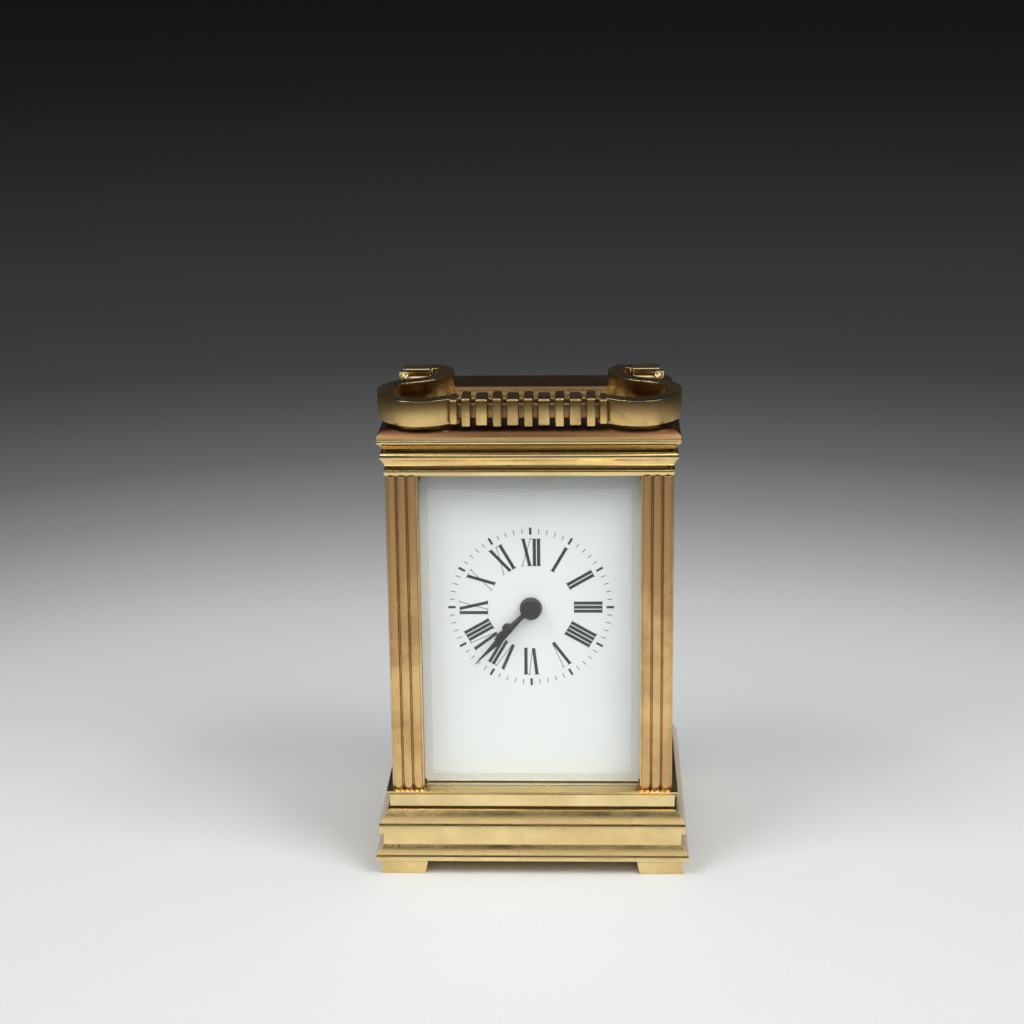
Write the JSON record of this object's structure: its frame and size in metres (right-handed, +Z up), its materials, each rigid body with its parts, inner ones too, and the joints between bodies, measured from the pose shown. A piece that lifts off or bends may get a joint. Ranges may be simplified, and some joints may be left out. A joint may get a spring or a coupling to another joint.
{
  "type": "carriage clock",
  "caption": "Glazed rectangular brass carriage clock: moulded base, reeded corner pillars, folding handle, rear door and geared movement.",
  "frame": {"origin": "on the ground under the middle of the case", "axes": "+Z up, dial faces -Y, +X to the right of a person facing the dial"},
  "size_m": [0.09, 0.079, 0.1417],
  "materials": {
    "brass": "polished, lightly tarnished",
    "aged_brass": "aged, worn bright on edges",
    "coppery_brass": "aged with coppery tarnish",
    "steel": "polished",
    "dark_steel": "blued to brown-black",
    "enamel": "fired white enamel, gloss",
    "glass": "polished, bevelled"
  },
  "bodies": {
    "case": {"base_plinth": "brass", "base_cap": "aged_brass", "pillar_front_left": "coppery_brass", "pillar_front_right": "coppery_brass", "pillar_back_left": "coppery_brass", "pillar_back_right": "coppery_brass", "cornice": "brass", "top_frame": "coppery_brass", "top_glass": "glass", "front_glass": "glass", "side_glass_left": "glass", "side_glass_right": "glass", "handle_lug_left": "aged_brass", "handle_lug_right": "aged_brass", "handle_screw_left": "aged_brass", "handle_screw_right": "aged_brass", "door_pin_bottom": "steel", "door_pin_top": "steel", "front_plate": "brass", "back_plate": "brass", "movement_pillar_1": "brass", "movement_pillar_2": "brass", "movement_pillar_3": "brass", "movement_pillar_4": "brass", "dial": "enamel", "click_spring": "steel", "platform": "brass", "escape_potence": "brass", "escape_bridge": "brass", "balance_cock": "brass"},
    "handle": {"handle": "aged_brass"},
    "rear_door": {"rear_door": "brass", "rear_glass": "glass", "door_knob": "brass"},
    "barrel": {"barrel": "brass", "barrel_cover": "brass", "mainspring": "steel"},
    "winding_arbor": {"barrel_arbor": "steel", "ratchet_wheel": "brass"},
    "click": {"click": "steel"},
    "intermediate_wheel": {"intermediate_pinion": "steel", "intermediate_wheel": "brass"},
    "centre_wheel": {"centre_pinion": "steel", "centre_wheel": "brass"},
    "third_wheel": {"third_pinion": "steel", "third_wheel": "brass"},
    "contrate_wheel": {"contrate_pinion": "steel", "contrate_wheel": "brass"},
    "escape_wheel": {"escape_pinion": "steel", "escape_wheel": "steel"},
    "pallet_lever": {"pallet_lever": "steel"},
    "balance": {"balance_wheel": "brass", "hairspring": "dark_steel"},
    "regulator_index": {"regulator_index": "steel"},
    "minute_hand": {"centre_arbor": "steel", "cannon_pinion": "steel", "minute_hand": "dark_steel"},
    "minute_wheel": {"minute_wheel": "brass"},
    "hour_hand": {"hour_wheel": "brass", "hour_hand": "dark_steel"}
  },
  "joints": [
    {"name": "handle_fold", "type": "hinge", "parent": "case", "child": "handle", "pos_m": [0, 0, 0.138], "axis": [-1, 0, 0], "range_deg": [0, 186]},
    {"name": "door_swing", "type": "hinge", "parent": "case", "child": "rear_door", "pos_m": [0.0291, 0.0315, 0.072], "axis": [0, 0, -1], "range_deg": [0, 90]},
    {"name": "contrate_spin", "type": "hinge", "parent": "case", "child": "contrate_wheel", "pos_m": [0, 0, 0.0936], "axis": [0, 1, 0], "continuous": true},
    {"name": "third_spin", "type": "hinge", "parent": "case", "child": "third_wheel", "pos_m": [-0.01071, 0, 0.08842], "axis": [0, 1, 0], "continuous": true},
    {"name": "centre_spin", "type": "hinge", "parent": "case", "child": "centre_wheel", "pos_m": [0, 0, 0.0775], "axis": [0, 1, 0], "continuous": true},
    {"name": "intermediate_spin", "type": "hinge", "parent": "case", "child": "intermediate_wheel", "pos_m": [0.00905, 0, 0.06195], "axis": [0, 1, 0], "continuous": true},
    {"name": "barrel_spin", "type": "hinge", "parent": "case", "child": "barrel", "pos_m": [0, 0, 0.043], "axis": [0, 1, 0], "continuous": true},
    {"name": "escape_spin", "type": "hinge", "parent": "case", "child": "escape_wheel", "pos_m": [0, -0.0044, 0.105], "axis": [0, 0, 1], "continuous": true},
    {"name": "winding", "type": "hinge", "parent": "case", "child": "winding_arbor", "pos_m": [0, 0, 0.043], "axis": [0, 1, 0], "continuous": true},
    {"name": "click_lift", "type": "hinge", "parent": "case", "child": "click", "pos_m": [-0.00315, 0.0177, 0.05165], "axis": [0, -1, 0], "range_deg": [0, 8], "stiffness_Nm_per_rad": 0.0001, "springref_deg": -17.19},
    {"name": "lever_rock", "type": "hinge", "parent": "case", "child": "pallet_lever", "pos_m": [0, 0.0012, 0.1057], "axis": [0, 0, 1], "range_deg": [-4, 4]},
    {"name": "balance_swing", "type": "hinge", "parent": "case", "child": "balance", "pos_m": [0, 0.0084, 0.1094], "axis": [0, 0, 1], "range_deg": [-135, 135], "stiffness_Nm_per_rad": 0.0000027},
    {"name": "index_adjust", "type": "hinge", "parent": "case", "child": "regulator_index", "pos_m": [0, 0.0084, 0.1131], "axis": [0, 0, 1], "range_deg": [-20, 20]},
    {"name": "hand_setting", "type": "hinge", "parent": "case", "child": "minute_hand", "pos_m": [0, 0, 0.0775], "axis": [0, 1, 0], "continuous": true},
    {"name": "minute_wheel_spin", "type": "hinge", "parent": "case", "child": "minute_wheel", "pos_m": [0.00636, 0, 0.07114], "axis": [0, 1, 0], "continuous": true},
    {"name": "hour_hand_turn", "type": "hinge", "parent": "case", "child": "hour_hand", "pos_m": [0, 0, 0.0775], "axis": [0, 1, 0], "continuous": true}
  ],
  "couplings": [
    {"joint": "third_spin", "follows": "contrate_spin", "ratio": -0.13333},
    {"joint": "centre_spin", "follows": "contrate_spin", "ratio": 0.017778},
    {"joint": "intermediate_spin", "follows": "contrate_spin", "ratio": -0.0035556},
    {"joint": "barrel_spin", "follows": "contrate_spin", "ratio": 0.00059259},
    {"joint": "escape_spin", "follows": "contrate_spin", "ratio": -4},
    {"joint": "minute_wheel_spin", "follows": "hand_setting", "ratio": -0.33333},
    {"joint": "hour_hand_turn", "follows": "hand_setting", "ratio": 0.083333}
  ]
}
